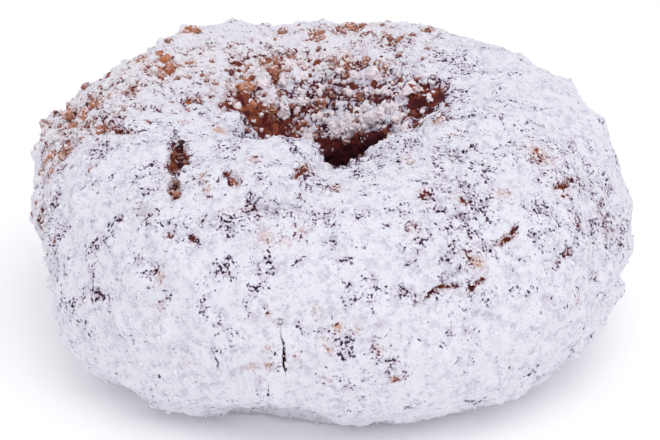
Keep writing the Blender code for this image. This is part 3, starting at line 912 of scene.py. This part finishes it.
# (degrees round the ring, degrees round the tube, width in mm, share of sugar, share of orange)
LARGE_PLACES = (
    # the shoulder at -X
    (129, 65, 2.2, 0.28, 1.4), (141, 74, 1.1, 0.19, 0.4), (154, 85, 1.7, 0.10, 1.6),
    (159, 91, 1.4, 0.15, 1.5), (151, 80, 1.3, 0.10, 1.6), (162, 86, 1.1, 0.19, 1.2),
    (157, 75, 1.3, 0.33, 0.9), (152, 97, 1.1, 0.33, 1.1), (169, 58, 1.2, 0.33, 0.5),
    (176, 61, 1.2, 0.19, 1.2), (170, 43, 1.6, 0.37, 1.4), (178, 56, 1.4, 0.37, 1.5),
    (181, 51, 1.4, 0.28, 1.3), (196, 65, 1.4, 0.19, 0.9), (185, 61, 1.2, 0.24, 0.2),
    (174, 70, 1.2, 0.37, 0.2), (187, 78, 1.1, 0.46, 0.6), (172, 109, 1.3, 0.19, 0.3),
    (193, 47, 1.5, 0.28, 0.8), (194, 56, 1.1, 0.37, 0.5), (167, 29, 2.0, 0.42, 0.3),
    (191, 42, 1.3, 0.30, 0.9), (186, 36, 1.4, 0.35, 0.8), (193, 36, 1.1, 0.30, 1.1),
    (183, 30, 1.2, 0.40, 0.7),
    # in the large fold: dark crumb, its orange share below nought as painted shade in the fold
    (223, 84, 0.7, -0.20, -0.6), (225, 77, 0.8, -0.15, 0.2), (230, 73, 0.7, -0.30, -0.8),
    (231, 68, 0.7, -0.10, -0.4), (233, 63, 0.7, 0.10, -0.6), (236, 58, 0.9, 0.05, 0.6),
    # the crown behind the hole
    (82, 77, 1.7, 0.20, 1.0), (85, 84, 1.4, 0.15, 0.6), (79, 72, 1.2, 0.28, 1.0),
    (94, 99, 1.1, 0.28, 1.4), (108, 112, 1.2, 0.15, 0.3), (104, 87, 1.0, 0.42, 0.2),
    (59, 73, 1.1, 0.37, 0.9), (70, 86, 1.2, 0.30, 0.9), (64, 92, 1.0, 0.24, 1.1),
    (76, 95, 1.1, 0.20, 0.6),
    # sugar in the hole
    (64, 121, 2.4, 1.00, 0.0), (135, 127, 1.7, 1.00, 0.0), (136, 133, 1.8, 1.00, 0.0),
    (131, 140, 1.7, 1.00, 0.0), (113, 138, 1.3, 1.00, 0.0), (85, 148, 1.1, 0.95, 0.0),
    (75, 150, 1.3, 1.00, 0.0), (63, 147, 1.5, 1.00, 0.0), (48, 142, 1.6, 1.00, 0.0),
    (41, 138, 1.5, 1.00, 0.0), (34, 135, 1.4, 1.00, 0.0), (90, 146, 0.8, 1.00, 0.0),
    (80, 146, 0.9, 1.00, 0.0), (70, 145, 1.0, 1.00, 0.0), (58, 143, 1.1, 1.00, 0.0),
    (56, 147, 0.9, 1.00, 0.0), (44, 142, 0.9, 1.00, 0.0), (37, 140, 0.9, 1.00, 0.0),
    (30, 133, 0.9, 1.00, 0.0), (67, 151, 0.9, 1.00, 0.0), (79, 152, 1.0, 1.00, 0.0),
    (20, 134, 1.2, 1.00, 0.0), (75, 123, 1.2, 0.90, 0.0), (33, 124, 1.4, 0.82, 0.0),
    (49, 128, 1.2, 0.64, 0.2), (120, 127, 1.2, 0.90, 0.0), (94, 120, 1.1, 0.90, 0.0),
    # crumbs in the hole
    (146, 125, 1.5, 0.19, 1.5), (143, 121, 1.3, 0.10, 1.4), (150, 123, 1.1, 0.19, 1.3),
    (124, 121, 1.6, 0.15, 1.0), (121, 117, 1.3, 0.19, 1.1), (127, 117, 1.2, 0.28, 0.9),
    (137, 116, 1.3, 0.33, 1.0), (142, 137, 1.4, 0.28, 1.5), (93, 138, 1.3, 0.33, 1.3),
    (87, 116, 1.3, 0.33, 0.9), (71, 112, 1.2, 0.19, 0.7), (59, 115, 1.0, 0.37, 0.9),
    (30, 120, 1.2, 0.37, 0.7), (69, 154, 1.1, 0.37, 0.6), (69, 131, 1.3, 0.15, 0.5),
    (18, 119, 0.9, 0.46, 0.3),
)
lumps = bmesh.new()
tone_layer = lumps.verts.layers.float.new("tone")
warm_layer = lumps.verts.layers.float.new("warm")
for number, (around, tube, width, held, orange) in enumerate(LARGE_PLACES):
    middle, outward = skin_tree.find_nearest(ring_place(around, tube))[:2]
    middle -= outward * width * MM * LARGE_SINK
    made = bmesh.ops.create_icosphere(lumps, subdivisions=4, radius=0.5 * width * MM)["verts"]
    for vert in made:
        start = vert.co / (width * MM) * 1.5 + Vector((7.3 * number, 0.0, 0.0))
        for finer, share in DENTS_OF_CRUMB if held < 0.8 else DENTS_OF_CLOT:
            vert.co += noise.noise_vector(start * finer) * share * width * MM
        vert.co += middle
        vert[tone_layer] = held
        vert[warm_layer] = orange
large = bpy.data.objects.new("large_crumbs", bpy.data.meshes.new("large_crumbs"))
bpy.context.scene.collection.objects.link(large)
for face in lumps.faces:
    face.smooth = True
lumps.to_mesh(large.data)
lumps.free()
large.data.materials.append(make_crumb_coat("large_sugared_crumbs", 0.93, SUGAR_PAINTED_WALL_BOUNCE))
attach(large, "root")

# ---------------------------------------------------------------------------------------------
# Stage: floor, camera and lights
# A matt white paper sweep, so white that it almost meets the sky, one large soft lamp high at
# the front right, and a camera with a long lens, looking down at the front of the ring.

FLOOR_SIZE = 4.0
bpy.ops.mesh.primitive_plane_add(size=FLOOR_SIZE)
floor = bpy.context.object
floor.name = "floor"
# Bright paper turns some of the light's ultraviolet into white, so it glows a little.
paper, _, surface = new_material("white_paper", roughness=0.9, specular=0.5)
surface["Base Color"].default_value = linear("#FCFCFC")
surface["Emission Color"].default_value = linear("#FFFFFF")
surface["Emission Strength"].default_value = 0.07
floor.data.materials.append(paper)

LOOK_AT = Vector((0.0, 0.0, 16.6 * MM))
AIM_RIGHT = 0.47 * MM
AIM_DOWN = 1.85 * MM
CAMERA_ELEVATION = math.radians(25.6)
CAMERA_DISTANCE = 310 * MM
back = Vector((0.0, -math.cos(CAMERA_ELEVATION), math.sin(CAMERA_ELEVATION)))
upward = Vector((0.0, math.sin(CAMERA_ELEVATION), math.cos(CAMERA_ELEVATION)))
camera = bpy.data.objects.new("camera", bpy.data.cameras.new("camera"))
bpy.context.scene.collection.objects.link(camera)
camera.location = LOOK_AT + back * CAMERA_DISTANCE
aim = LOOK_AT + Vector((AIM_RIGHT, 0.0, 0.0)) - upward * AIM_DOWN
camera.rotation_euler = (aim - camera.location).to_track_quat("-Z", "Y").to_euler()
camera.data.lens = 125.4
camera.data.sensor_width = 36.0
camera.data.clip_start = 0.01
bpy.context.scene.camera = camera

sky = bpy.data.worlds.new("studio")
sky.use_nodes = True
sky.node_tree.nodes["Background"].inputs["Color"].default_value = linear("#FBFBFF")
sky.node_tree.nodes["Background"].inputs["Strength"].default_value = 0.82
bpy.context.scene.world = sky
softbox = bpy.data.lights.new("softbox", "AREA")
softbox.shape = "DISK"
softbox.size = 0.6
softbox.energy = 1.78
lamp = bpy.data.objects.new("softbox", softbox)
bpy.context.scene.collection.objects.link(lamp)
lamp.location = (0.14, -0.30, 0.74)
lamp.rotation_euler = (LOOK_AT - lamp.location).to_track_quat("-Z", "Y").to_euler()
bpy.context.scene.view_settings.view_transform = "Standard"
